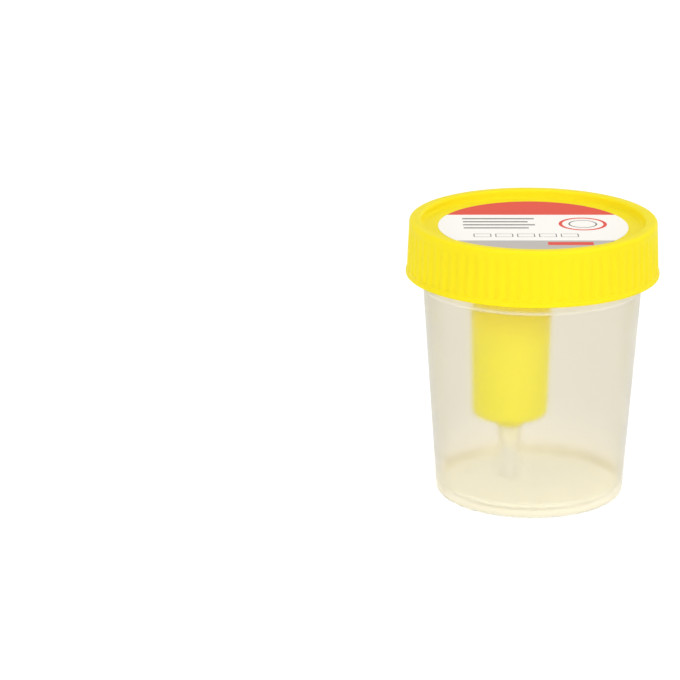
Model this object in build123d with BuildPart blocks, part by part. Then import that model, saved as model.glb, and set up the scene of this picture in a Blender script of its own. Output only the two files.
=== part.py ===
"""Specimen container: a translucent screw-capped cup whose cap carries a vacuum-tube transfer well.

Frame: millimetres, +Z up, origin at the centre of the cup's base, on the table.
The well stands off the cap's axis towards -X. The cap unscrews anticlockwise on a right-hand thread.
"""
import os
from math import radians, tan

from build123d import *

# ---------------------------------------------------------------- driving sizes
# Cup, injection-moulded polypropylene
cup_height = 67.0  # table to rim
cup_base_radius = 23.55  # outer wall at the table, before its edge is rounded
cup_draft = 4.05  # degrees that the wall leans outwards
cup_wall = 1.1
cup_floor = 1.2
foot_recess = 1.3  # the base is raised inside its standing ring
foot_ring_width = 2.8
foot_slope = 0.5
base_round = 1.7
floor_chamfer = 1.2
neck_length = 12.3  # the straight threaded neck, down to its step
neck_step = 0.58  # the neck stands this far out of the wall below it
neck_step_height = 0.7
neck_inner_run = 1.4  # height over which the inside widens to the neck
rim_chamfer = 0.3

# Screw thread, right-hand, one start
thread_lead = 4.0
thread_turns = 1.2
thread_depth = 1.2
thread_root_width = 2.2
thread_crest_width = 0.9
thread_clearance = 0.35  # crest to root, and flank to flank along the axis
thread_rim_margin = 0.4
thread_bite = 0.3  # how far the ridge is rooted in its wall
thread_run_out = 16  # degrees over which each end of the ridge dies into the wall

# Seal ring, soft
seal_thickness = 1.0
seal_gap = 0.05  # above it and below it
seal_overhang = 0.75  # how far it reaches past the neck outside

# Cap, injection-moulded high-density polyethylene
cap_height = 14.0
skirt_wall = 1.43  # at the top
cap_draft = 2.45  # degrees that the skirt leans outwards, going down
cap_lip_overhang = 0.27
cap_lip_height = 0.75
cap_lip_slope = 0.45
cap_mouth_chamfer = 0.4
cap_top_round = 0.85
panel_thickness = 1.2
recess_depth = 2.1  # the panel lies below the rim
recess_draft = 5.0
core_width = 0.75  # the hollow under the cap's rim
core_wall = 0.75  # between that hollow and the recess
retainer_depth = 2.6  # the ring that centres the seal inside the neck
retainer_wall = 0.95
retainer_clearance = 0.35
flute_count = 72
flute_radius = 1.15
flute_depth_low = 0.36
flute_depth_high = 0.2
flute_margin_low = 0.35  # plain band between the lip and the flutes
flute_margin_high = 1.9  # plain shoulder over the flutes

# Transfer well, moulded with the cap
well_offset = -5.15
well_length = 48.0  # below the panel
well_mouth_radius = 9.4
well_floor_radius = 8.25  # inside, at the bottom
well_wall = 1.2
well_floor = 1.3
well_edge_round = 1.6
well_corner_chamfer = 0.8
well_mouth_chamfer = 0.3
hub_radius = 3.2
hub_height = 3.0
barb_root_radius = 1.15
barb_radius = 1.45
barb_tip_radius = 1.0
barb_length = 3.2
barb_shoulder = 1.0
spigot_radius = 3.4
spigot_length = 2.5
nipple_root_radius = 2.1
nipple_tip_radius = 1.5
nipple_length = 5.0
lumen_radius = 0.45

# Needle, stainless steel tube
needle_radius = 0.6
needle_wall = 0.2
needle_seat_depth = 2.0  # its lower end, below the well's outer bottom
needle_reach = 16.0  # from the barb to the point
needle_bevel = 20.0  # degrees between the bevel and the needle
needle_fit = 0.02

# Needle sleeve, rubber
sleeve_wall = 0.75
sleeve_fit = 0.05  # round the barb
sleeve_needle_gap = 0.25
sleeve_tip_room = 0.8
sleeve_top = 1.3
sleeve_top_chamfer = 0.7
sleeve_overlap = 3.0  # length drawn over the barb

# Draw tube, polypropylene
draw_tube_fit = 0.03  # round the nipple
draw_tube_mouth_radius = 3.3
draw_tube_cone_length = 6.0
draw_tube_cone_radius = 2.4
draw_tube_shoulder = 0.6
draw_tube_radius = 2.1
draw_tube_end_radius = 2.0
draw_tube_bore = 1.0
draw_tube_floor_gap = 0.9

# Label, printed paper stuck over the well
label_margin = 4.1  # bare panel left around it
label_thickness = 0.12

# ---------------------------------------------------------------- places that follow
cup_lean = tan(radians(cup_draft))
floor_z = foot_recess + cup_floor
step_z = cup_height - neck_length
step_wall_radius = cup_base_radius + cup_lean * (step_z - neck_step_height)
neck_radius = step_wall_radius + neck_step
neck_inner_radius = neck_radius - cup_wall
inner_base_radius = cup_base_radius - cup_wall
foot_ring_inner = cup_base_radius - foot_ring_width

thread_rise = thread_lead * thread_turns
cup_thread_z = cup_height - thread_rim_margin - thread_root_width / 2 - thread_rise
cap_inner_radius = neck_radius + thread_depth + thread_clearance
flank_run = (thread_root_width - thread_crest_width) / 2
flank_overlap = thread_depth - thread_clearance
flank_half_width = thread_crest_width / 2 + flank_run * flank_overlap / (2 * thread_depth)
cap_thread_z = cup_thread_z - 2 * flank_half_width - thread_clearance

seal_z = cup_height + seal_gap
seal_outer_radius = neck_radius + seal_overhang
retainer_radius = neck_inner_radius - retainer_clearance
seal_inner_radius = retainer_radius + retainer_clearance / 2

panel_under_z = seal_z + seal_thickness + seal_gap
panel_z = panel_under_z + panel_thickness
cap_top_z = panel_z + recess_depth
cap_low_z = cap_top_z - cap_height
cap_lean = tan(radians(cap_draft))
cap_top_radius = cap_inner_radius + skirt_wall
lip_top_z = cap_low_z + cap_lip_height
skirt_low_z = lip_top_z + cap_lip_slope
skirt_low_radius = cap_top_radius + cap_lean * (cap_top_z - skirt_low_z)
cap_lip_radius = skirt_low_radius + cap_lip_overhang
core_radius = cap_inner_radius - core_width
core_top_z = cap_top_z - panel_thickness
rim_inner_radius = core_radius - core_wall
recess_radius = rim_inner_radius - recess_depth * tan(radians(recess_draft))
label_radius = recess_radius - label_margin

well_bottom_z = panel_under_z - well_length
well_floor_z = well_bottom_z + well_floor
spigot_z = well_bottom_z - spigot_length
nipple_z = spigot_z - nipple_length
hub_z = well_floor_z + hub_height
barb_z = hub_z + barb_length
needle_seat_z = well_bottom_z - needle_seat_depth
needle_tip_z = barb_z + needle_reach
well_plane = Plane(origin=(well_offset, 0, 0), x_dir=(1, 0, 0), z_dir=(0, -1, 0))
well_axis = Axis((well_offset, 0, 0), (0, 0, 1))


def circles(part, radius, height):
    """The circular edges of one radius at one height."""
    return part.edges().filter_by(
        lambda e: e.geom_type == GeomType.CIRCLE
        and abs(e.radius - radius) < 1e-3
        and abs(e.center().Z - height) < 1e-3
    )


def polar(radius, degrees):
    """A point in plan, at a radius and an angle."""
    return Vector(radius, 0).rotate(Axis.Z, degrees)


def thread_ridge(root_radius, crest_radius, start_z):
    """One turn and a bit of thread: its section swept along the helix, rooted in the wall."""
    away = 1 if crest_radius > root_radius else -1
    clear_radius = crest_radius + away * thread_depth
    with BuildPart() as ridge:
        with BuildLine():
            path = Helix(thread_lead, thread_rise, root_radius, center=(0, 0, start_z))
        with BuildSketch(Plane.XZ):
            with BuildLine():
                Polyline(
                    (root_radius - away * thread_bite, start_z - thread_root_width / 2),
                    (root_radius, start_z - thread_root_width / 2),
                    (crest_radius, start_z - thread_crest_width / 2),
                    (crest_radius, start_z + thread_crest_width / 2),
                    (root_radius, start_z + thread_root_width / 2),
                    (root_radius - away * thread_bite, start_z + thread_root_width / 2),
                    close=True,
                )
            make_face()
        sweep(path=path, is_frenet=True)

        # each end slopes down to the wall
        for end, side, end_z in ((0, 1, start_z), (360 * thread_turns, -1, start_z + thread_rise)):
            with BuildSketch(Plane.XY.offset(end_z)):
                Polygon(
                    polar(root_radius, end - side),
                    polar(crest_radius, end + side * thread_run_out),
                    polar(clear_radius, end + side * thread_run_out),
                    polar(clear_radius, end - side),
                    align=None,
                )
            extrude(amount=thread_root_width * 0.7, both=True, mode=Mode.SUBTRACT)
    return ridge.part


# ---------------------------------------------------------------- cup
cup_thread = thread_ridge(neck_radius, neck_radius + thread_depth, cup_thread_z)

with BuildPart() as cup:
    with BuildSketch(Plane.XZ):
        with BuildLine():
            Polyline(
                (0, foot_recess),
                (foot_ring_inner - foot_slope, foot_recess),
                (foot_ring_inner, 0),
                (cup_base_radius, 0),
                (step_wall_radius, step_z - neck_step_height),
                (neck_radius, step_z),
                (neck_radius, cup_height),
                (neck_inner_radius, cup_height),
                (neck_inner_radius, step_z + neck_inner_run),
                (inner_base_radius + cup_lean * step_z, step_z),
                (inner_base_radius + cup_lean * floor_z, floor_z),
                (0, floor_z),
                close=True,
            )
        make_face()
    revolve(axis=Axis.Z)
    fillet(circles(cup, cup_base_radius, 0), base_round)
    chamfer(circles(cup, inner_base_radius + cup_lean * floor_z, floor_z), floor_chamfer)
    chamfer(cup.edges().group_by(Axis.Z)[-1], rim_chamfer)
    add(cup_thread)

# ---------------------------------------------------------------- cap
cap_thread = thread_ridge(cap_inner_radius, cap_inner_radius - thread_depth, cap_thread_z)

# finger grip: shallow upright flutes, deeper towards the lip
flute_low_z = skirt_low_z + flute_margin_low
flute_high_z = cap_top_z - flute_margin_high
flute_foot = Vector(
    skirt_low_radius - cap_lean * flute_margin_low + flute_radius - flute_depth_low, 0, flute_low_z
)
flute_head = Vector(
    cap_top_radius + cap_lean * flute_margin_high + flute_radius - flute_depth_high, 0, flute_high_z
)
with BuildPart() as flute:
    with BuildSketch(Plane(origin=flute_foot, x_dir=(0, 1, 0), z_dir=flute_head - flute_foot)):
        Circle(flute_radius)
    extrude(amount=(flute_head - flute_foot).length)

with BuildPart() as cap:
    with BuildSketch(Plane.XZ):
        with BuildLine():
            Polyline(
                (0, panel_z),
                (recess_radius, panel_z),
                (rim_inner_radius, cap_top_z),
                (cap_top_radius, cap_top_z),
                (skirt_low_radius, skirt_low_z),
                (cap_lip_radius, lip_top_z),
                (cap_lip_radius, cap_low_z),
                (cap_inner_radius + cap_mouth_chamfer, cap_low_z),
                (cap_inner_radius, cap_low_z + cap_mouth_chamfer),
                (cap_inner_radius, core_top_z),
                (core_radius, core_top_z),
                (core_radius, panel_under_z),
                (retainer_radius, panel_under_z),
                (retainer_radius, panel_under_z - retainer_depth),
                (retainer_radius - retainer_wall, panel_under_z - retainer_depth),
                (retainer_radius - retainer_wall, panel_under_z),
                (0, panel_under_z),
                close=True,
            )
        make_face()
    revolve(axis=Axis.Z)
    fillet(cap.edges().group_by(Axis.Z)[-1], cap_top_round)

    with PolarLocations(0, flute_count):
        add(flute.part, mode=Mode.SUBTRACT)

    add(cap_thread)

    # the well hangs through the panel
    with Locations((well_offset, 0, panel_under_z)):
        Cylinder(
            well_mouth_radius + well_wall / 2,
            panel_thickness,
            align=(Align.CENTER, Align.CENTER, Align.MIN),
            mode=Mode.SUBTRACT,
        )
    with BuildSketch(well_plane):
        with BuildLine():
            Polyline(
                (lumen_radius, nipple_z),
                (nipple_tip_radius, nipple_z),
                (nipple_root_radius, spigot_z),
                (spigot_radius, spigot_z),
                (spigot_radius, well_bottom_z),
                (well_floor_radius + well_wall, well_bottom_z),
                (well_mouth_radius + well_wall, panel_z),
                (well_mouth_radius, panel_z),
                (well_floor_radius, well_floor_z),
                (hub_radius, well_floor_z),
                (hub_radius, hub_z),
                (barb_root_radius, hub_z),
                (barb_root_radius, barb_z - barb_shoulder),
                (barb_radius, barb_z - barb_shoulder),
                (barb_tip_radius, barb_z),
                (needle_radius + needle_fit, barb_z),
                (needle_radius + needle_fit, needle_seat_z),
                (lumen_radius, needle_seat_z),
                close=True,
            )
        make_face()
    revolve(axis=well_axis)
    fillet(circles(cap, well_floor_radius + well_wall, well_bottom_z), well_edge_round)
    chamfer(circles(cap, well_floor_radius, well_floor_z), well_corner_chamfer)
    chamfer(circles(cap, well_mouth_radius, panel_z), well_mouth_chamfer)

# ---------------------------------------------------------------- seal ring
with BuildPart() as seal_ring:
    with BuildSketch(Plane.XY.offset(seal_z)):
        Circle(seal_outer_radius)
        Circle(seal_inner_radius, mode=Mode.SUBTRACT)
    extrude(amount=seal_thickness)

# ---------------------------------------------------------------- label
with BuildPart() as label:
    with BuildSketch(Plane.XY.offset(panel_z)):
        Circle(label_radius)
    extrude(amount=label_thickness)

# ---------------------------------------------------------------- needle
with BuildPart() as needle:
    with BuildSketch(Plane.XY.offset(needle_seat_z)):
        with Locations((well_offset, 0)):
            Circle(needle_radius)
            Circle(needle_radius - needle_wall, mode=Mode.SUBTRACT)
    extrude(amount=needle_tip_z - needle_seat_z)
    bevel_plane = Plane(
        origin=(well_offset + needle_radius, 0, needle_tip_z),
        x_dir=(0, 1, 0),
        z_dir=Vector(1, 0, 0).rotate(Axis.Y, -needle_bevel),
    )
    split(bisect_by=bevel_plane, keep=Keep.BOTTOM)

# ---------------------------------------------------------------- needle sleeve
with BuildPart() as needle_sleeve:
    sleeve_inner = needle_radius + sleeve_needle_gap
    sleeve_mouth = barb_radius + sleeve_fit
    sleeve_low_z = barb_z - sleeve_overlap
    sleeve_neck_z = barb_z + sleeve_wall
    sleeve_room_z = needle_tip_z + sleeve_tip_room
    with BuildSketch(well_plane):
        with BuildLine():
            Polyline(
                (sleeve_mouth, sleeve_low_z),
                (sleeve_mouth + sleeve_wall, sleeve_low_z),
                (sleeve_mouth + sleeve_wall, barb_z),
                (sleeve_inner + sleeve_wall, sleeve_neck_z + sleeve_wall),
                (sleeve_inner + sleeve_wall, sleeve_room_z + sleeve_top),
                (0, sleeve_room_z + sleeve_top),
                (0, sleeve_room_z),
                (sleeve_inner, sleeve_room_z),
                (sleeve_inner, sleeve_neck_z),
                (sleeve_mouth, barb_z),
                close=True,
            )
        make_face()
    revolve(axis=well_axis)
    chamfer(needle_sleeve.edges().group_by(Axis.Z)[-1], sleeve_top_chamfer)

# ---------------------------------------------------------------- draw tube
with BuildPart() as draw_tube:
    cone_z = spigot_z - draw_tube_cone_length
    tube_z = floor_z + draw_tube_floor_gap
    with BuildSketch(well_plane):
        with BuildLine():
            Polyline(
                (nipple_root_radius + draw_tube_fit, spigot_z),
                (draw_tube_mouth_radius, spigot_z),
                (draw_tube_cone_radius, cone_z),
                (draw_tube_radius, cone_z - draw_tube_shoulder),
                (draw_tube_end_radius, tube_z),
                (draw_tube_bore, tube_z),
                (draw_tube_bore, nipple_z - draw_tube_fit),
                (nipple_tip_radius + draw_tube_fit, nipple_z - draw_tube_fit),
                close=True,
            )
        make_face()
    revolve(axis=well_axis)

# ---------------------------------------------------------------- write the parts
cup.part.label = "cup"
seal_ring.part.label = "seal_ring"
cap.part.label = "cap"
label.part.label = "label"
needle.part.label = "needle"
needle_sleeve.part.label = "needle_sleeve"
draw_tube.part.label = "draw_tube"

os.makedirs("parts", exist_ok=True)
export_step(cup.part, "parts/cup.step")
export_step(seal_ring.part, "parts/seal_ring.step")
export_step(cap.part, "parts/cap.step")
export_step(label.part, "parts/label.step")
export_step(needle.part, "parts/needle.step")
export_step(needle_sleeve.part, "parts/needle_sleeve.step")
export_step(draw_tube.part, "parts/draw_tube.step")
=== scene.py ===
import math

import bpy
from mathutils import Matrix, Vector


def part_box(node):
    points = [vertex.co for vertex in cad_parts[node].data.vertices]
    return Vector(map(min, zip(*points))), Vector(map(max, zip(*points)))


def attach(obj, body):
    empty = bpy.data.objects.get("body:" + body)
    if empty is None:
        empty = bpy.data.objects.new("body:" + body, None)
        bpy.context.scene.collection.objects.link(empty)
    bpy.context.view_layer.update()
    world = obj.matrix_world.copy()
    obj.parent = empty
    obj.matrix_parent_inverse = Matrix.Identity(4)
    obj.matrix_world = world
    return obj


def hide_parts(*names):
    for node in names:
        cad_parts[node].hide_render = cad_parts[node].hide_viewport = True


# specimen container: milky screw-top cup and yellow cap with a transfer well, needle and draw tube
# the frame is in metres; the sizes below are in millimetres unless they say otherwise

mm = 0.001

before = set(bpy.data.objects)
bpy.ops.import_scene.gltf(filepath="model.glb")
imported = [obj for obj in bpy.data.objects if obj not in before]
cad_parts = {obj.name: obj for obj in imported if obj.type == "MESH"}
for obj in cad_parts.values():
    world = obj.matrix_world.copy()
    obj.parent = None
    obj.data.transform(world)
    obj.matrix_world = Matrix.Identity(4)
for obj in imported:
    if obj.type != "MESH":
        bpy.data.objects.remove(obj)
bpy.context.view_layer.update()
print("frame loaded:", len(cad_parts), "nodes")

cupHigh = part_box("cup")[1]
capLow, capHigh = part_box("cap")
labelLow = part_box("label")[0]
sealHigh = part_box("seal_ring")[1]
tubeLow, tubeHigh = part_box("draw_tube")
needleLow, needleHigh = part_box("needle")
wellX = (tubeLow.x + tubeHigh.x) / 2 / mm  # the well's own axis, off the cup's


def srgbHex(code):
    # hex as picked on screen, turned to the linear values that Blender works in
    channels = [int(code[i:i + 2], 16) / 255 for i in (1, 3, 5)]
    linear = [c / 12.92 if c <= 0.04045 else ((c + 0.055) / 1.055) ** 2.4 for c in channels]
    return (*linear, 1.0)


def addNode(tree, kind, settings=None, inputs=None):
    # inputs take a value or another node's socket; what comes back is the node's outputs by name
    node = tree.nodes.new(kind)
    for name, value in (settings or {}).items():
        setattr(node, name, value)
    for key, value in (inputs or {}).items():
        if isinstance(key, int):
            socket = node.inputs[key]
        else:
            socket = next(s for s in node.inputs if s.name == key and s.enabled)
        if isinstance(value, bpy.types.NodeSocket):
            tree.links.new(value, socket)
        else:
            socket.default_value = value
    return {s.name: s for s in node.outputs if s.enabled}


def newMaterial(name):
    material = bpy.data.materials.new(name)
    material.use_nodes = True
    material.node_tree.nodes.clear()
    return material, material.node_tree


def dress(nodeName, material):
    # a CAD node keeps its mesh and takes a finished material
    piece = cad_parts[nodeName]
    piece.data.materials.clear()
    piece.data.materials.append(material)


# a profile row holds its radius r and height z, and these
plainRow = {
    "x": 0.0,  # where its axis stands
    "helical": 0.0,  # 1 where it climbs with the thread
    "ridge": 0.0,  # 1 on the thread's crest
    "turn": 0.0,  # whole turns since the thread's start
    "grip": 0.0,  # depth of the finger flutes
}
rounding = {
    "step": math.radians(24),  # one face of an arc
    "hold": 0.12,  # the rows that keep the shading of the flats beside an arc
    "holdShare": 0.2,
}


def softRows(corners):
    # corners are dictionaries in order round the section; a round gets an arc, held on each side
    rows = []
    for i, corner in enumerate(corners):
        here = Vector((corner["r"], corner["z"]))
        base = {**plainRow, **corner}
        size = corner.get("round", 0.0)
        if size == 0.0:
            rows.append(base)
            continue
        back = Vector((corners[i - 1]["r"], corners[i - 1]["z"])) - here
        ahead = corners[(i + 1) % len(corners)]
        onward = Vector((ahead["r"], ahead["z"])) - here
        half = back.angle(onward) / 2
        tangent = size / math.tan(half)
        centre = here + (back.normalized() + onward.normalized()).normalized() * size / math.sin(half)
        start = here + back.normalized() * tangent - centre
        sweep = start.angle_signed(here + onward.normalized() * tangent - centre)
        steps = max(2, round(abs(sweep) / rounding["step"]))
        hold = rounding["hold"] + rounding["holdShare"] * tangent
        points = [here + back.normalized() * (tangent + hold)]
        for step in range(steps + 1):
            turn = -sweep * step / steps
            spoke = Vector((
                start.x * math.cos(turn) - start.y * math.sin(turn),
                start.x * math.sin(turn) + start.y * math.cos(turn),
            ))
            points.append(centre + spoke)
        points.append(here + onward.normalized() * (tangent + hold))
        rows += [{**base, "r": p.x, "z": p.y} for p in points]
    return rows


def threadRows(radius, thread, low, high):
    # rows that climb with the helix, so the ridge's edges run along them, between two level ones
    level = {**plainRow, "r": radius}
    rows = [{**level, "z": low}]
    half, crest, lead = thread["rootWidth"] / 2, thread["crestWidth"] / 2, thread["lead"]
    beside = half + thread["footRow"]
    flanks = [(-half, 0), (-crest, 1), (0, 1), (crest, 1), (half, 0)]  # offset, share of the depth
    section = [(-beside, 0)] + flanks + [(beside, 0), (lead / 2, 0)]
    for turn in range(-4, 5):  # more than any zone holds
        for offset, ridge in section:
            height = thread["start"] + lead * turn + offset
            if low - lead < height < high:
                rows.append({**level, "z": height, "helical": 1.0, "ridge": ridge, "turn": turn})
    return rows + [{**level, "z": high}]


def gripRows(lowPoint, highPoint, grip):
    # upright flutes: they start sharply over the lip and fade out at the shoulder
    rows = []
    length = highPoint[1] - lowPoint[1]
    start = [(0, 0), (0.12, 0.75), (0.3, 1)]  # climb, share of the full depth
    end = [(length - 0.9, 1), (length - 0.45, 0.7), (length, 0)]
    for climb, share in start + [(length / 2, 1)] + end:
        t = climb / length
        depth = share * (grip["depthLow"] * (1 - t) + grip["depthHigh"] * t)
        radius = lowPoint[0] + (highPoint[0] - lowPoint[0]) * t
        rows.append({**plainRow, "r": radius, "z": lowPoint[1] + climb, "grip": depth})
    return rows


def profileObject(name, rows):
    # one vertex a row: position holds radius, axis and height, and two attributes hold the rest
    mesh = bpy.data.meshes.new(name)
    points = [(row["r"] * mm, row["x"] * mm, row["z"] * mm) for row in rows]
    mesh.from_pydata(points, [(i, i + 1) for i in range(len(rows) - 1)], [])
    mesh.attributes.new("screw", "FLOAT_VECTOR", "POINT")
    mesh.attributes.new("grip", "FLOAT", "POINT")
    for i, row in enumerate(rows):
        mesh.attributes["screw"].data[i].vector = (row["helical"], row["ridge"], row["turn"])
        mesh.attributes["grip"].data[i].value = row["grip"] * mm
    piece = bpy.data.objects.new(name, mesh)
    bpy.context.scene.collection.objects.link(piece)
    return piece


weldDistance = 0.8e-6  # metres, well under the shortest edge


def latheTree():
    # turns a profile about its axis, with a screw thread and finger flutes on the way
    tree = bpy.data.node_groups.new("moulded lathe", "GeometryNodeTree")
    face = tree.interface
    face.new_socket("Geometry", in_out="INPUT", socket_type="NodeSocketGeometry")
    for name, kind in (
        ("Segments", "NodeSocketInt"),
        ("Thread Lead", "NodeSocketFloat"),
        ("Thread Depth", "NodeSocketFloat"),
        ("Thread Turns", "NodeSocketFloat"),
        ("Thread Run-out", "NodeSocketFloat"),
        ("Zone Low", "NodeSocketFloat"),
        ("Zone High", "NodeSocketFloat"),
        ("Flute Count", "NodeSocketInt"),
        ("Flute Share", "NodeSocketFloat"),
        ("Sharp Angle", "NodeSocketFloat"),
        ("Material", "NodeSocketMaterial"),
    ):
        face.new_socket(name, in_out="INPUT", socket_type=kind)
    face.new_socket("Geometry", in_out="OUTPUT", socket_type="NodeSocketGeometry")
    start = addNode(tree, "NodeGroupInput")

    # a flat grid: one line of vertices for each row of the profile
    size = addNode(tree, "GeometryNodeAttributeDomainSize", {"component": "MESH"}, {
        "Geometry": start["Geometry"],
    })
    columns = addNode(tree, "FunctionNodeIntegerMath", {"operation": "ADD"}, {
        0: start["Segments"], 1: 1,
    })["Value"]
    grid = addNode(tree, "GeometryNodeMeshGrid", {}, {
        "Vertices X": size["Point Count"], "Vertices Y": columns,
    })
    index = addNode(tree, "GeometryNodeInputIndex")["Index"]
    row = addNode(tree, "FunctionNodeIntegerMath", {"operation": "DIVIDE_FLOOR"}, {
        0: index, 1: columns,
    })["Value"]
    column = addNode(tree, "FunctionNodeIntegerMath", {"operation": "MODULO"}, {
        0: index, 1: columns,
    })["Value"]

    # what the profile says at this row
    place = addNode(tree, "GeometryNodeInputPosition")["Position"]
    screw = addNode(tree, "GeometryNodeInputNamedAttribute", {"data_type": "FLOAT_VECTOR"}, {
        "Name": "screw",
    })["Attribute"]
    grip = addNode(tree, "GeometryNodeInputNamedAttribute", {"data_type": "FLOAT"}, {
        "Name": "grip",
    })["Attribute"]
    placeHere = addNode(tree, "GeometryNodeSampleIndex", {"data_type": "FLOAT_VECTOR"}, {
        "Geometry": start["Geometry"], "Value": place, "Index": row,
    })["Value"]
    screwHere = addNode(tree, "GeometryNodeSampleIndex", {"data_type": "FLOAT_VECTOR"}, {
        "Geometry": start["Geometry"], "Value": screw, "Index": row,
    })["Value"]
    gripHere = addNode(tree, "GeometryNodeSampleIndex", {"data_type": "FLOAT"}, {
        "Geometry": start["Geometry"], "Value": grip, "Index": row,
    })["Value"]
    radius, axisX, height = addNode(tree, "ShaderNodeSeparateXYZ", {}, {0: placeHere}).values()
    helical, ridge, pastTurns = addNode(tree, "ShaderNodeSeparateXYZ", {}, {0: screwHere}).values()

    # how far round, in turns
    around = addNode(tree, "ShaderNodeMath", {"operation": "DIVIDE"}, {
        0: column, 1: start["Segments"],
    })["Value"]
    angle = addNode(tree, "ShaderNodeMath", {"operation": "MULTIPLY"}, {
        0: around, 1: math.tau,
    })["Value"]

    # helical rows climb by the lead, and wait at the ends of their zone
    climbed = addNode(tree, "ShaderNodeMath", {"operation": "MULTIPLY_ADD"}, {
        0: around, 1: start["Thread Lead"], 2: height,
    })["Value"]
    held = addNode(tree, "ShaderNodeClamp", {}, {
        "Value": climbed, "Min": start["Zone Low"], "Max": start["Zone High"],
    })["Result"]
    level = addNode(tree, "ShaderNodeMix", {"data_type": "FLOAT"}, {
        0: helical, 2: height, 3: held,
    })["Result"]

    # the ridge rises from the wall at one end of the thread and dies into it at the other
    along = addNode(tree, "ShaderNodeMath", {"operation": "ADD"}, {0: around, 1: pastTurns})["Value"]
    left = addNode(tree, "ShaderNodeMath", {"operation": "SUBTRACT"}, {
        0: start["Thread Turns"], 1: along,
    })["Value"]
    nearest = addNode(tree, "ShaderNodeMath", {"operation": "MINIMUM"}, {0: along, 1: left})["Value"]
    risen = addNode(tree, "ShaderNodeMapRange", {"interpolation_type": "SMOOTHSTEP"}, {
        "Value": nearest, "From Min": 0.0, "From Max": start["Thread Run-out"],
    })["Result"]
    stand = addNode(tree, "ShaderNodeMath", {"operation": "MULTIPLY"}, {0: risen, 1: ridge})["Value"]
    threaded = addNode(tree, "ShaderNodeMath", {"operation": "MULTIPLY_ADD"}, {
        0: stand, 1: start["Thread Depth"], 2: radius,
    })["Value"]

    # a flute's section is a shallow arc centred in its pitch
    pitches = addNode(tree, "ShaderNodeMath", {"operation": "MULTIPLY"}, {
        0: around, 1: start["Flute Count"],
    })["Value"]
    fromFlute = addNode(tree, "ShaderNodeMath", {"operation": "PINGPONG"}, {
        0: pitches, 1: 0.5,
    })["Value"]
    share = addNode(tree, "ShaderNodeMath", {"operation": "DIVIDE"}, {
        0: fromFlute, 1: start["Flute Share"],
    })["Value"]
    squared = addNode(tree, "ShaderNodeMath", {"operation": "POWER"}, {0: share, 1: 2.0})["Value"]
    scoop = addNode(tree, "ShaderNodeMath", {"operation": "SUBTRACT", "use_clamp": True}, {
        0: 1.0, 1: squared,
    })["Value"]
    cut = addNode(tree, "ShaderNodeMath", {"operation": "MULTIPLY"}, {0: scoop, 1: gripHere})["Value"]
    reach = addNode(tree, "ShaderNodeMath", {"operation": "SUBTRACT"}, {0: threaded, 1: cut})["Value"]

    # wrap the grid about the row's own axis
    cosine = addNode(tree, "ShaderNodeMath", {"operation": "COSINE"}, {0: angle})["Value"]
    sine = addNode(tree, "ShaderNodeMath", {"operation": "SINE"}, {0: angle})["Value"]
    x = addNode(tree, "ShaderNodeMath", {"operation": "MULTIPLY_ADD"}, {
        0: reach, 1: cosine, 2: axisX,
    })["Value"]
    y = addNode(tree, "ShaderNodeMath", {"operation": "MULTIPLY"}, {0: reach, 1: sine})["Value"]
    wrapped = addNode(tree, "ShaderNodeCombineXYZ", {}, {"X": x, "Y": y, "Z": level})["Vector"]
    body = addNode(tree, "GeometryNodeSetPosition", {}, {
        "Geometry": grid["Mesh"], "Position": wrapped,
    })["Geometry"]
    outward = addNode(tree, "GeometryNodeFlipFaces", {}, {"Mesh": body})["Mesh"]
    welded = addNode(tree, "GeometryNodeMergeByDistance", {}, {
        "Geometry": outward, "Distance": weldDistance,
    })["Geometry"]

    # smooth everywhere but at hard corners
    bend = addNode(tree, "GeometryNodeInputMeshEdgeAngle")["Unsigned Angle"]
    gentle = addNode(tree, "FunctionNodeCompare", {"operation": "LESS_THAN"}, {
        0: bend, 1: start["Sharp Angle"],
    })["Result"]
    faces = addNode(tree, "GeometryNodeSetShadeSmooth", {"domain": "FACE"}, {
        "Geometry": welded, "Shade Smooth": True,
    })["Geometry"]
    shaded = addNode(tree, "GeometryNodeSetShadeSmooth", {"domain": "EDGE"}, {
        "Geometry": faces, "Shade Smooth": gentle,
    })["Geometry"]
    real = addNode(tree, "GeometryNodeRealizeInstances", {}, {"Geometry": shaded})["Geometry"]
    coated = addNode(tree, "GeometryNodeSetMaterial", {}, {
        "Geometry": real, "Material": start["Material"],
    })["Geometry"]
    addNode(tree, "NodeGroupOutput", {}, {"Geometry": coated})
    return tree


def turned(name, rows, tree, values):
    # runs the lathe on a profile and keeps the result as a plain mesh at the origin
    profile = profileObject(name + "Profile", rows)
    modifier = profile.modifiers.new("lathe", "NODES")
    modifier.node_group = tree
    for socket in tree.interface.items_tree:
        if socket.in_out == "INPUT" and socket.name in values:
            modifier[socket.identifier] = values[socket.name]
    evaluated = profile.evaluated_get(bpy.context.evaluated_depsgraph_get())
    mesh = bpy.data.meshes.new_from_object(evaluated)
    mesh.name = name
    piece = bpy.data.objects.new(name, mesh)
    bpy.context.scene.collection.objects.link(piece)
    profile.modifiers.clear()
    bpy.data.objects.remove(profile)
    print(name, "turned:", len(rows), "rows,", len(mesh.polygons), "faces")
    return piece


# finishes

def band(tree, value, start, end, low=0.0, high=1.0):
    # a soft step between two places
    return addNode(tree, "ShaderNodeMapRange", {"interpolation_type": "SMOOTHSTEP"}, {
        "Value": value, "From Min": start, "From Max": end, "To Min": low, "To Max": high,
    })["Result"]


def blended(tree, factor, before, after):
    # colours as hex codes or sockets
    pair = [srgbHex(v) if isinstance(v, str) else v for v in (before, after)]
    return addNode(tree, "ShaderNodeMix", {"data_type": "RGBA"}, {
        0: factor, 6: pair[0], 7: pair[1],
    })["Result"]


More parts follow.
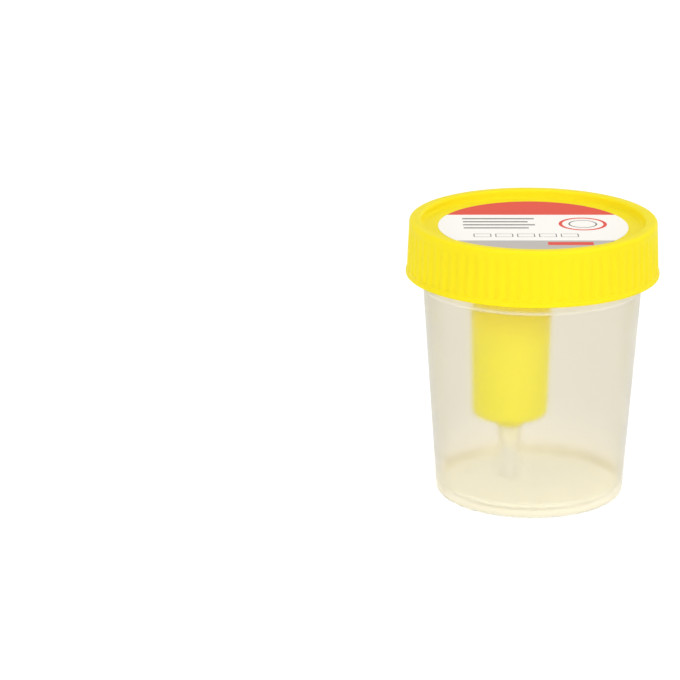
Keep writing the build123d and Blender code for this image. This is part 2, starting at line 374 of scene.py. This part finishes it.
def hazyPolypropylene(name, rough, look):
    # moulded natural polypropylene: hazy, so what stands behind the wall shows soft and warm
    material, tree = newMaterial(name)
    place = addNode(tree, "ShaderNodeTexCoord")["Object"]
    # the melt flows in patches of 9 mm; the mould's 0.05 mm grain is drawn at 0.5 mm, so that it shows
    flow = addNode(tree, "ShaderNodeTexNoise", {}, {
        "Vector": place, "Scale": 1 / (9 * mm), "Detail": 2.0, "Roughness": 0.5,
    })["Fac"]
    grain = addNode(tree, "ShaderNodeTexNoise", {}, {
        "Vector": place, "Scale": 1 / (0.5 * mm), "Detail": 1.0,
    })["Fac"]
    ripple = addNode(tree, "ShaderNodeMath", {"operation": "MULTIPLY_ADD"}, {
        0: grain, 1: 0.04, 2: flow,
    })["Value"]
    bump = addNode(tree, "ShaderNodeBump", {}, {
        "Height": ripple, "Strength": 0.12, "Distance": 0.4 * mm,
    })["Normal"]
    colour, clear = look(tree, place)
    shader = addNode(tree, "ShaderNodeBsdfPrincipled", {}, {
        "Base Color": colour,
        "Roughness": band(tree, flow, 0.0, 1.0, rough - 0.02, rough + 0.03),
        "IOR": 1.1,  # solid polypropylene is 1.49; the haze spreads the bend over the whole wall
        "Transmission Weight": clear,
        "Subsurface Weight": 1.0,
        "Subsurface Radius": (1.0, 1.0, 0.85),
        "Subsurface Scale": 2.0 * mm,
        "Normal": bump,
    })["BSDF"]
    # lamps and bounced light reach the inside straight through the thin wall
    path = addNode(tree, "ShaderNodeLightPath")
    passing = addNode(tree, "ShaderNodeMath", {"operation": "MAXIMUM"}, {
        0: path["Is Shadow Ray"], 1: path["Is Diffuse Ray"],
    })["Value"]
    through = addNode(tree, "ShaderNodeBsdfTransparent", {}, {"Color": srgbHex("#FFFEFA")})["BSDF"]
    wall = addNode(tree, "ShaderNodeMixShader", {}, {0: passing, 1: shader, 2: through})["Shader"]
    addNode(tree, "ShaderNodeOutputMaterial", {}, {"Surface": wall})
    return material


def plainFinish(name, colour, rough, ior, grainSize, grainDepth, metallic=0.0, sheen=0.0):
    # small inner pieces: one colour with the surface grain of how each was made, in millimetres
    material, tree = newMaterial(name)
    place = addNode(tree, "ShaderNodeTexCoord")["Object"]
    grain = addNode(tree, "ShaderNodeTexNoise", {}, {
        "Vector": place, "Scale": 1 / (grainSize * mm), "Detail": 3.0,
    })["Fac"]
    bump = addNode(tree, "ShaderNodeBump", {}, {
        "Height": grain, "Strength": 0.3, "Distance": grainDepth * mm,
    })["Normal"]
    roughness = addNode(tree, "ShaderNodeMapRange", {}, {
        "Value": grain, "To Min": rough - 0.05, "To Max": rough + 0.05,
    })["Result"]
    shader = addNode(tree, "ShaderNodeBsdfPrincipled", {}, {
        "Base Color": srgbHex(colour),
        "Roughness": roughness,
        "IOR": ior,
        "Metallic": metallic,
        "Sheen Weight": sheen,
        "Normal": bump,
    })["BSDF"]
    addNode(tree, "ShaderNodeOutputMaterial", {}, {"Surface": shader})
    return material


thread = {
    "lead": 4.0,
    "turns": 1.2,
    "depth": 1.2,
    "rootWidth": 2.2,
    "crestWidth": 0.9,
    "rimMargin": 0.4,
    "runOut": 16 / 360,  # turns
    "clearance": 0.35,
    "footRow": 0.2,  # from the ridge to the row that holds its foot
}
sharpAngle = math.radians(38)  # edges that bend more than this stay hard

lathe = latheTree()

# cup

cup = {
    "height": cupHigh.z / mm,
    "neckRadius": cupHigh.x / mm - thread["depth"],
    "baseRadius": 23.55,
    "draft": math.tan(math.radians(4.05)),
    "wall": 1.1,
    "floorTop": 2.5,
    "floorRound": 1.3,
    "footRecess": 1.3,
    "footRing": 2.8,
    "footSlope": 0.5,
    "baseRound": 1.7,
    "gate": {"endRadius": 0.9, "rootRadius": 1.15, "low": 1.0},  # its vestige, under the base
    "neckLength": 12.3,
    "stepHeight": 0.7,
    "innerStepHeight": 1.4,
    "edgeRound": 0.3,
    "roughness": 0.31,
    "segments": 288,
}
# the haze of the cup's plastic, together with painted light: a highlight at the step, a reflection of the
# cap at the neck, and light on the lower wall and inside the foot
cupHazeAndPaintedLight = {
    "foot": (3.0, 5.0),  # heights over which the thick foot gives way to the wall
    "footOutside": (22.9, 23.5),  # radii over which its inside gives way to its outside
    "footClear": (0.95, 0.27),  # inside, outside
    # the paler tint inside the foot is painted light, for light coming up through the base; the outside
    # keeps the foot's own tint
    "footGlowAndTint": ("#FFFDEE", "#F5EDD9"),
    # the lighter, warmer tint low on the wall is painted light, where the lit base and table show through
    # it
    "wall": (3.0, 16.0),  # heights over which the warm tint pales
    "wallClear": (0.95, 0.3),  # seen square on, edge-on
    "wallTintAndLowGlow": ("#FAF4E6", "#EEEBE2"),
    # a cloudier, brighter band at the step is a painted highlight on the step's edge
    "stepMiddle": 54.6,
    "stepHighlightReach": (0.15, 0.55),
    "stepHighlightClear": 0.6,
    # the neck's warm yellowish tint is a painted reflection of the yellow cap above it
    "neck": (54.0, 57.4),
    "neckCapReflection": "#F8EFD0",
}


def cupLook(tree, place):
    # cloudier where the wall is seen edge-on and at the thick foot; a cloudier band at its step is a
    # painted highlight, the warm neck a painted reflection of the cap, and the lighter lower wall and
    # inside of the foot painted light
    height = addNode(tree, "ShaderNodeSeparateXYZ", {}, {0: place})["Z"]
    flat = addNode(tree, "ShaderNodeVectorMath", {"operation": "MULTIPLY"}, {
        0: place, 1: (1, 1, 0),
    })["Vector"]
    reach = addNode(tree, "ShaderNodeVectorMath", {"operation": "LENGTH"}, {0: flat})["Value"]
    facing = addNode(tree, "ShaderNodeLayerWeight", {}, {"Blend": 0.5})["Facing"]
    foot = band(tree, height, cupHazeAndPaintedLight["foot"][0] * mm, cupHazeAndPaintedLight["foot"][1] * mm, 1.0, 0.0)
    outside = band(tree, reach, cupHazeAndPaintedLight["footOutside"][0] * mm, cupHazeAndPaintedLight["footOutside"][1] * mm)
    neck = band(tree, height, cupHazeAndPaintedLight["neck"][0] * mm, cupHazeAndPaintedLight["neck"][1] * mm)
    fromStep = addNode(tree, "ShaderNodeMath", {"operation": "SUBTRACT"}, {
        0: height, 1: cupHazeAndPaintedLight["stepMiddle"] * mm,
    })["Value"]
    away = addNode(tree, "ShaderNodeMath", {"operation": "ABSOLUTE"}, {0: fromStep})["Value"]
    # painted highlight: the wall turns cloudier in a narrow band at the step
    step = band(tree, away, cupHazeAndPaintedLight["stepHighlightReach"][0] * mm, cupHazeAndPaintedLight["stepHighlightReach"][1] * mm, 1.0, 0.0)
    wallClear = band(tree, facing, 0.5, 1.0, *cupHazeAndPaintedLight["wallClear"])
    stepHighlightClear = addNode(tree, "ShaderNodeMix", {"data_type": "FLOAT"}, {
        0: step, 2: wallClear, 3: cupHazeAndPaintedLight["stepHighlightClear"],
    })["Result"]
    footClear = addNode(tree, "ShaderNodeMix", {"data_type": "FLOAT"}, {
        0: outside, 2: cupHazeAndPaintedLight["footClear"][0], 3: cupHazeAndPaintedLight["footClear"][1],
    })["Result"]
    clear = addNode(tree, "ShaderNodeMix", {"data_type": "FLOAT"}, {
        0: foot, 2: stepHighlightClear, 3: footClear,
    })["Result"]
    # painted light inside the foot, the foot's own tint over its outside
    footGlowAndTint = blended(tree, outside, *cupHazeAndPaintedLight["footGlowAndTint"])
    # painted light: the wall is coloured lighter and warmer low down, giving way to its own tint higher
    # up
    climb = band(tree, height, cupHazeAndPaintedLight["wall"][0] * mm, cupHazeAndPaintedLight["wall"][1] * mm)
    wallTintAndLowGlow = blended(tree, climb, *cupHazeAndPaintedLight["wallTintAndLowGlow"])
    # painted reflection: the neck takes the cap's yellow as a tint
    upperTintAndReflection = blended(tree, neck, wallTintAndLowGlow, cupHazeAndPaintedLight["neckCapReflection"])
    return blended(tree, foot, upperTintAndReflection, footGlowAndTint), clear


def cupRows():
    top, neck, lean, edge = cup["height"], cup["neckRadius"], cup["draft"], cup["edgeRound"]
    step = top - cup["neckLength"]
    stepFoot = step - cup["stepHeight"]
    stepInside = step + cup["innerStepHeight"]
    ringInner = cup["baseRadius"] - cup["footRing"]
    start = top - thread["rimMargin"] - thread["rootWidth"] / 2 - thread["lead"] * thread["turns"]
    zone = (start - 1.6, top - 0.5)  # clear of the ridge below, and of the rim's edge above
    inner = cup["baseRadius"] - cup["wall"]
    outerWall = softRows([
        {"r": 0.0, "z": cup["gate"]["low"]},
        {"r": cup["gate"]["endRadius"], "z": cup["gate"]["low"]},
        {"r": cup["gate"]["rootRadius"], "z": cup["footRecess"]},
        {"r": ringInner - cup["footSlope"], "z": cup["footRecess"], "round": 0.4},
        {"r": ringInner, "z": 0.0, "round": edge},
        {"r": cup["baseRadius"], "z": 0.0, "round": cup["baseRound"]},
        {"r": cup["baseRadius"] + lean * stepFoot, "z": stepFoot, "round": edge},
        {"r": neck, "z": step, "round": edge},
        {"r": neck, "z": zone[0]},
    ])[:-1]
    rim = softRows([
        {"r": neck, "z": zone[1]},
        {"r": neck, "z": top, "round": edge},
        {"r": neck - cup["wall"], "z": top, "round": edge},
        {"r": neck - cup["wall"], "z": stepInside, "round": 1.0},
        {"r": inner + lean * step, "z": step, "round": 1.0},
        {"r": inner + lean * cup["floorTop"], "z": cup["floorTop"], "round": cup["floorRound"]},
        {"r": 0.0, "z": cup["floorTop"]},
    ])[1:]
    helix = threadRows(neck, {**thread, "start": start}, *zone)
    return outerWall + helix + rim, zone, start


cupProfile, cupZone, cupThreadStart = cupRows()
cupShell = turned("cupShell", cupProfile, lathe, {
    "Segments": cup["segments"],
    "Thread Lead": thread["lead"] * mm,
    "Thread Depth": thread["depth"] * mm,
    "Thread Turns": thread["turns"],
    "Thread Run-out": thread["runOut"],
    "Zone Low": cupZone[0] * mm,
    "Zone High": cupZone[1] * mm,
    "Flute Count": 1,
    "Flute Share": 0.3,
    "Sharp Angle": sharpAngle,
    "Material": hazyPolypropylene("natural polypropylene, moulded", cup["roughness"], cupLook),
})
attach(cupShell, "cup")
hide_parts("cup")

# cap, with the transfer well moulded in

cap = {
    "top": capHigh.z / mm,
    "height": 14.0,
    "lipRadius": capHigh.x / mm,
    "lipHeight": 0.75,
    "lipSlope": 0.45,
    "mouthChamfer": 0.4,
    "skirtWall": 1.43,
    "draft": math.tan(math.radians(2.45)),
    "topRound": 0.85,
    "panelTop": labelLow.z / mm,
    "panelUnder": sealHigh.z / mm + 0.05,  # a hair over the seal
    "recessDraft": math.tan(math.radians(5)),
    "innerRadius": cup["neckRadius"] + thread["depth"] + thread["clearance"],
    "coreWidth": 0.75,
    "coreWall": 0.75,
    "coreTop": 1.2,  # below the rim
    "retainerDepth": 2.6,
    "retainerWall": 0.95,
    "retainerClearance": 0.35,
    "segments": 576,
}
grip = {
    "count": 72,
    "share": 0.31,  # half a flute's width, in pitches
    "depthLow": 0.36,
    "depthHigh": 0.2,
    "marginLow": 0.35,  # plain band over the lip
    "marginHigh": 1.9,  # plain shoulder under the rim
}
well = {
    "length": 48.0,
    "mouth": 9.4,
    "floor": 8.25,
    "wall": 1.2,
    "floorThickness": 1.3,
    "hub": (3.2, 3.0),  # radius, height
    "barb": (1.15, 1.45, 1.0, 3.2),  # root, shoulder, tip, length
    "barbShoulder": 1.0,  # below the tip
    "spigot": 3.4,
    "nipple": (2.1, 1.5),  # root, tip
    "lumen": 0.45,
    "needleFit": 0.02,
}


def yellowPolyethylene():
    # moulded high-density polyethylene, pigmented: satin, with faint clouds of flow
    material, tree = newMaterial("yellow polyethylene, moulded")
    place = addNode(tree, "ShaderNodeTexCoord")["Object"]
    height = addNode(tree, "ShaderNodeSeparateXYZ", {}, {0: place})["Z"]
    # the pigment clouds over 14 mm; the mould's 0.05 mm grain is drawn at 0.35 mm, so that it shows
    cloud = addNode(tree, "ShaderNodeTexNoise", {}, {
        "Vector": place, "Scale": 1 / (14 * mm), "Detail": 2.0,
    })["Fac"]
    grain = addNode(tree, "ShaderNodeTexNoise", {}, {
        "Vector": place, "Scale": 1 / (0.35 * mm), "Detail": 2.0,
    })["Fac"]
    # painted light: the well is coloured lighter than the skirt, and darker towards its top under the
    # cap, which is painted shade
    wellLitAndShaded = blended(tree, band(tree, height, 38 * mm, 54 * mm), "#FFF222", "#FFE614")
    inCap = blended(tree, cloud, "#F2E020", "#F0DC18")
    colour = blended(tree, band(tree, height, 56 * mm, 58 * mm), wellLitAndShaded, inCap)
    bump = addNode(tree, "ShaderNodeBump", {}, {
        "Height": grain, "Strength": 0.15, "Distance": 0.05 * mm,
    })["Normal"]
    shader = addNode(tree, "ShaderNodeBsdfPrincipled", {}, {
        "Base Color": colour,
        "Roughness": band(tree, cloud, 0.0, 1.0, 0.46, 0.56),
        "IOR": 1.54,
        "Specular IOR Level": 0.12,
        "Specular Tint": srgbHex("#FFF6BE"),
        "Subsurface Weight": 0.35,
        "Subsurface Radius": (1.0, 0.9, 0.25),
        "Subsurface Scale": 1.5 * mm,
        "Normal": bump,
    })["BSDF"]
    addNode(tree, "ShaderNodeOutputMaterial", {}, {"Surface": shader})
    return material


def wellCorners():
    # from the outside of its top down round the nipple, then up the needle's seat to hub and mouth
    panel, under = cap["panelTop"], cap["panelUnder"]
    low = under - well["length"]
    outerFloor = well["floor"] + well["wall"]
    outerTop = outerFloor + (well["mouth"] - well["floor"]) * (under - low) / (panel - low)
    floorTop = low + well["floorThickness"]
    hub, hubHeight = well["hub"]
    hubTop = floorTop + hubHeight
    root, shoulder, tip, barbLength = well["barb"]
    barbTop = hubTop + barbLength
    barbFoot = barbTop - well["barbShoulder"]
    spigotLow, nippleLow = tubeHigh.z / mm, capLow.z / mm
    seat, needleBore = needleLow.z / mm, needleHigh.y / mm + well["needleFit"]
    return [{**corner, "x": wellX} for corner in (
        {"r": outerTop, "z": under},
        {"r": outerFloor, "z": low, "round": 1.6},
        {"r": well["spigot"], "z": low, "round": 0.3},
        {"r": well["spigot"], "z": spigotLow, "round": 0.2},
        {"r": well["nipple"][0], "z": spigotLow},
        {"r": well["nipple"][1], "z": nippleLow, "round": 0.15},
        {"r": well["lumen"], "z": nippleLow},
        {"r": well["lumen"], "z": seat},
        {"r": needleBore, "z": seat},
        {"r": needleBore, "z": barbTop},
        {"r": tip, "z": barbTop},
        {"r": shoulder, "z": barbFoot},
        {"r": root, "z": barbFoot},
        {"r": root, "z": hubTop},
        {"r": hub, "z": hubTop, "round": 0.3},
        {"r": hub, "z": floorTop, "round": 0.5},
        {"r": well["floor"], "z": floorTop, "round": 1.0},
        {"r": well["mouth"], "z": panel, "round": 0.3},
    )]


def capRows():
    top, panel, under = cap["top"], cap["panelTop"], cap["panelUnder"]
    low = top - cap["height"]
    bore = cap["innerRadius"]
    core = bore - cap["coreWidth"]
    coreTop = top - cap["coreTop"]
    rimOuter = bore + cap["skirtWall"]
    rimInner = core - cap["coreWall"]
    recess = rimInner - (top - panel) * cap["recessDraft"]
    lipTop = low + cap["lipHeight"]
    skirtFoot = lipTop + cap["lipSlope"]
    skirtRadius = rimOuter + cap["draft"] * (top - skirtFoot)
    retainer = cup["neckRadius"] - cup["wall"] - cap["retainerClearance"]
    retainerInner = retainer - cap["retainerWall"]
    retainerLow = under - cap["retainerDepth"]

    # the two threads pass with their clearance, so the cap's starts that much lower
    overlap = 1 - thread["clearance"] / thread["depth"]
    flankHalf = (thread["crestWidth"] + (thread["rootWidth"] - thread["crestWidth"]) * overlap) / 2
    start = cupThreadStart - 2 * flankHalf - thread["clearance"]
    ridgeTop = start + thread["lead"] * thread["turns"] + thread["rootWidth"] / 2
    zone = (low + cap["mouthChamfer"] + 0.03, ridgeTop + 0.4)  # just over the chamfer, clear of the ridge

    rim = [
        {"r": recess, "z": panel, "round": 0.5},
        {"r": rimInner, "z": top, "round": 0.7},
        {"r": rimOuter, "z": top, "round": cap["topRound"]},
    ]
    shoulder = {"r": rimOuter + cap["draft"] * grip["marginHigh"], "z": top - grip["marginHigh"]}
    gripFoot = {
        "r": skirtRadius - cap["draft"] * grip["marginLow"],
        "z": skirtFoot + grip["marginLow"],
    }
    lip = [
        {"r": skirtRadius, "z": skirtFoot, "round": 0.2},
        {"r": cap["lipRadius"], "z": lipTop, "round": 0.15},
        {"r": cap["lipRadius"], "z": low, "round": 0.2},
        {"r": bore + cap["mouthChamfer"], "z": low},
        {"r": bore, "z": low + cap["mouthChamfer"]},
    ]
    inside = [
        {"r": bore, "z": coreTop},
        {"r": core, "z": coreTop},
        {"r": core, "z": under},
        {"r": retainer, "z": under},
        {"r": retainer, "z": retainerLow},
        {"r": retainerInner, "z": retainerLow},
        {"r": retainerInner, "z": under},
    ]
    upper = softRows(wellCorners() + rim + [shoulder])[:-1]
    flutes = gripRows((gripFoot["r"], gripFoot["z"]), (shoulder["r"], shoulder["z"]), grip)
    lower = softRows([gripFoot] + lip)[1:]
    helix = threadRows(bore, {**thread, "start": start}, *zone)
    rows = upper + flutes[::-1] + lower + helix + softRows(inside) + upper[:1]
    return rows[::-1], zone


capProfile, capZone = capRows()
capShell = turned("capShell", capProfile, lathe, {
    "Segments": cap["segments"],
    "Thread Lead": thread["lead"] * mm,
    "Thread Depth": -thread["depth"] * mm,
    "Thread Turns": thread["turns"],
    "Thread Run-out": thread["runOut"],
    "Zone Low": capZone[0] * mm,
    "Zone High": capZone[1] * mm,
    "Flute Count": grip["count"],
    "Flute Share": grip["share"],
    "Sharp Angle": sharpAngle,
    "Material": yellowPolyethylene(),
})
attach(capShell, "cap")
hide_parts("cap")

# label: places and sizes across and along its face, from the middle

label = {
    "paper": "#FBF8F2",
    "red": "#DE4B3C",
    "grey": "#BDB7B2",
    "ink": "#6B6664",
    "redFrom": 10.6,
    "greyFrom": -13.6,
    "bar": {"middle": (8.4, -16.4), "half": (5.6, 1.4)},
    "rings": {"middle": (12.5, 1.8), "outer": (5.6, 0.45), "inner": (3.4, 0.2)},  # radius, half width
    "lines": {"count": 4, "first": (-8.5, 6.8), "half": (9.0, 0.5), "apart": 2.9, "indent": (0.8, 0.9)},
    "frames": {"count": 5, "first": (-13.0, -8.9), "half": (2.2, 1.5), "apart": 5.4, "line": 0.25},
}


def boxMask(tree, place, centre, half):
    # 1 inside a flat rectangle of the print
    offset = addNode(tree, "ShaderNodeVectorMath", {"operation": "SUBTRACT"}, {
        0: place, 1: (*centre, 0),
    })["Vector"]
    away = addNode(tree, "ShaderNodeVectorMath", {"operation": "ABSOLUTE"}, {0: offset})["Vector"]
    past = addNode(tree, "ShaderNodeVectorMath", {"operation": "SUBTRACT"}, {
        0: away, 1: (*half, 0),
    })["Vector"]
    sides = addNode(tree, "ShaderNodeSeparateXYZ", {}, {0: past})
    worst = addNode(tree, "ShaderNodeMath", {"operation": "MAXIMUM"}, {
        0: sides["X"], 1: sides["Y"],
    })["Value"]
    return addNode(tree, "ShaderNodeMath", {"operation": "LESS_THAN"}, {0: worst, 1: 0.0})["Value"]


def ringMask(tree, place, centre, radius, halfWidth):
    # 1 on a ring line of the print
    reach = addNode(tree, "ShaderNodeVectorMath", {"operation": "DISTANCE"}, {
        0: place, 1: (*centre, 0),
    })["Value"]
    return addNode(tree, "ShaderNodeMath", {"operation": "COMPARE"}, {
        0: reach, 1: radius, 2: halfWidth,
    })["Value"]


def printedPaper():
    # coated label paper, offset printed: fields, ruled lines, rings and small frames under a soft sheen
    material, tree = newMaterial("coated paper, printed")
    place = addNode(tree, "ShaderNodeTexCoord")["Object"]
    inMm = addNode(tree, "ShaderNodeVectorMath", {"operation": "SCALE"}, {
        0: place, "Scale": 1000.0,
    })["Vector"]
    flat = addNode(tree, "ShaderNodeVectorMath", {"operation": "MULTIPLY"}, {
        0: inMm, 1: (1, 1, 0),
    })["Vector"]
    across = addNode(tree, "ShaderNodeSeparateXYZ", {}, {0: flat})["Y"]
    redField = addNode(tree, "ShaderNodeMath", {"operation": "GREATER_THAN"}, {
        0: across, 1: label["redFrom"],
    })["Value"]
    greyField = addNode(tree, "ShaderNodeMath", {"operation": "LESS_THAN"}, {
        0: across, 1: label["greyFrom"],
    })["Value"]
    bar, rings, lines, frames = (label[key] for key in ("bar", "rings", "lines", "frames"))
    layers = [
        (redField, "red"),
        (greyField, "grey"),
        (boxMask(tree, flat, bar["middle"], bar["half"]), "red"),
        (ringMask(tree, flat, rings["middle"], *rings["outer"]), "red"),
        (ringMask(tree, flat, rings["middle"], *rings["inner"]), "ink"),
    ]
    for line in range(lines["count"]):
        # every second line is shorter
        shift, shrink = [value * (line % 2) for value in lines["indent"]]
        middle = (lines["first"][0] - shift, lines["first"][1] - lines["apart"] * line)
        half = (lines["half"][0] - shrink, lines["half"][1])
        layers.append((boxMask(tree, flat, middle, half), "ink"))
    for tile in range(frames["count"]):
        middle = (frames["first"][0] + frames["apart"] * tile, frames["first"][1])
        hollow = tuple(side - frames["line"] for side in frames["half"])
        layers.append((boxMask(tree, flat, middle, frames["half"]), "ink"))
        layers.append((boxMask(tree, flat, middle, hollow), "paper"))
    colour = srgbHex(label["paper"])
    for mask, shade in layers:
        colour = addNode(tree, "ShaderNodeMix", {"data_type": "RGBA"}, {
            0: mask, 6: colour, 7: srgbHex(label[shade]),
        })["Result"]
    # the paper's fibres lie in flocks of 0.6 mm
    fibre = addNode(tree, "ShaderNodeTexNoise", {}, {
        "Vector": place, "Scale": 1 / (0.6 * mm), "Detail": 4.0,
    })["Fac"]
    bump = addNode(tree, "ShaderNodeBump", {}, {
        "Height": fibre, "Strength": 0.1, "Distance": 0.05 * mm,
    })["Normal"]
    shader = addNode(tree, "ShaderNodeBsdfPrincipled", {}, {
        "Base Color": colour,
        "Roughness": 0.6,
        "IOR": 1.5,
        "Specular IOR Level": 0.3,
        "Normal": bump,
    })["BSDF"]
    addNode(tree, "ShaderNodeOutputMaterial", {}, {"Surface": shader})
    return material


dress("label", printedPaper())

# inner pieces that keep their CAD meshes

drawTube = {
    "roughness": 0.31,
    "clear": 0.25,
    "warm": (3.0, 18.0),  # heights over which the tint warms
    "tint": ("#F5F5F3", "#F7F3E8"),
}


def tubeLook(tree, place):
    # the tube's wall is even
    height = addNode(tree, "ShaderNodeSeparateXYZ", {}, {0: place})["Z"]
    climb = band(tree, height, drawTube["warm"][0] * mm, drawTube["warm"][1] * mm)
    return blended(tree, climb, *drawTube["tint"]), drawTube["clear"]


tubeMaterial = hazyPolypropylene("natural polypropylene, extruded", drawTube["roughness"], tubeLook)
dress("draw_tube", tubeMaterial)
# white and dead matt
dress("seal_ring", plainFinish("white polyethylene foam, die cut", "#F1F0EC", 0.75, 1.5, 0.5, 0.08))
# bright, with fine drawing marks
dress("needle", plainFinish("stainless steel, drawn", "#C9CACB", 0.25, 1.5, 0.2, 0.01, metallic=1.0))
# soft grey with a dusty edge
dress("needle_sleeve", plainFinish("grey rubber, dipped", "#8F8E8A", 0.6, 1.52, 0.3, 0.03, sheen=0.1))
print("pieces dressed")

# stage, light and camera

stage = {
    "floorSize": 4.0,  # metres
    "floorGlow": 0.93,
    "skyLight": 0.52,
    "lamps": {
        "leftFront": {"place": (-0.75, -0.8, 0.42), "size": 0.7, "power": 5.2},
        "rightFront": {"place": (0.85, -0.75, 0.42), "size": 0.7, "power": 5.6},
        "above": {"place": (0.1, 0.1, 1.1), "size": 0.8, "power": 3.6},
    },
    "lampAim": (0, 0, 0.035),
    "camera": {"place": (-0.04821, -0.85204, 0.30222), "tilt": 72.87, "lens": 187.25, "sensor": 36.0},
}


def seenDirectly(tree):
    # 1 for what the eye, a mirror or a clear wall looks at
    path = addNode(tree, "ShaderNodeLightPath")
    either = addNode(tree, "ShaderNodeMath", {"operation": "MAXIMUM"}, {
        0: path["Is Camera Ray"], 1: path["Is Glossy Ray"],
    })["Value"]
    return addNode(tree, "ShaderNodeMath", {"operation": "MAXIMUM"}, {
        0: either, 1: path["Is Transmission Ray"],
    })["Value"]


def paperFloor():
    half = stage["floorSize"] / 2
    corners = [(-half, -half, 0), (half, -half, 0), (half, half, 0), (-half, half, 0)]
    mesh = bpy.data.meshes.new("floor")
    mesh.from_pydata(corners, [], [(0, 1, 2, 3)])
    floor = bpy.data.objects.new("floor", mesh)
    bpy.context.scene.collection.objects.link(floor)
    # matt white for the light that it bounces; near white, with the shadow kept, for the eye
    material, tree = newMaterial("white paper sweep")
    matt = addNode(tree, "ShaderNodeBsdfDiffuse", {}, {"Color": srgbHex("#F4F4F4")})["BSDF"]
    shade = addNode(tree, "ShaderNodeBsdfDiffuse", {}, {"Color": srgbHex("#787878")})["BSDF"]
    glow = addNode(tree, "ShaderNodeEmission", {}, {
        "Color": (1, 1, 1, 1), "Strength": stage["floorGlow"],
    })["Emission"]
    lit = addNode(tree, "ShaderNodeAddShader", {}, {0: shade, 1: glow})["Shader"]
    shader = addNode(tree, "ShaderNodeMixShader", {}, {
        0: seenDirectly(tree), 1: matt, 2: lit,
    })["Shader"]
    addNode(tree, "ShaderNodeOutputMaterial", {}, {"Surface": shader})
    mesh.materials.append(material)


def skyLight():
    world = bpy.data.worlds.new("studio")
    world.use_nodes = True
    tree = world.node_tree
    tree.nodes.clear()
    light = addNode(tree, "ShaderNodeBackground", {}, {
        "Color": (1, 1, 1, 1), "Strength": stage["skyLight"],
    })["Background"]
    seen = addNode(tree, "ShaderNodeBackground", {}, {
        "Color": (1, 1, 1, 1), "Strength": 1.0,
    })["Background"]
    both = addNode(tree, "ShaderNodeMixShader", {}, {
        0: seenDirectly(tree), 1: light, 2: seen,
    })["Shader"]
    addNode(tree, "ShaderNodeOutputWorld", {}, {"Surface": both})
    bpy.context.scene.world = world


def softbox(name, lamp):
    light = bpy.data.lights.new(name, "AREA")
    light.shape = "SQUARE"
    light.size = lamp["size"]
    light.energy = lamp["power"]
    place = Vector(lamp["place"])
    holder = bpy.data.objects.new(name, light)
    holder.location = place
    holder.rotation_euler = (Vector(stage["lampAim"]) - place).to_track_quat("-Z", "Y").to_euler()
    bpy.context.scene.collection.objects.link(holder)


def productCamera(view):
    lens = bpy.data.cameras.new("camera")
    lens.lens = view["lens"]
    lens.sensor_width = view["sensor"]
    camera = bpy.data.objects.new("camera", lens)
    camera.location = view["place"]
    camera.rotation_euler = (math.radians(view["tilt"]), 0, 0)
    bpy.context.scene.collection.objects.link(camera)
    bpy.context.scene.camera = camera


paperFloor()
skyLight()
for lampName, lamp in stage["lamps"].items():
    softbox(lampName, lamp)
productCamera(stage["camera"])
bpy.context.scene.view_settings.view_transform = "Standard"
print("stage set")
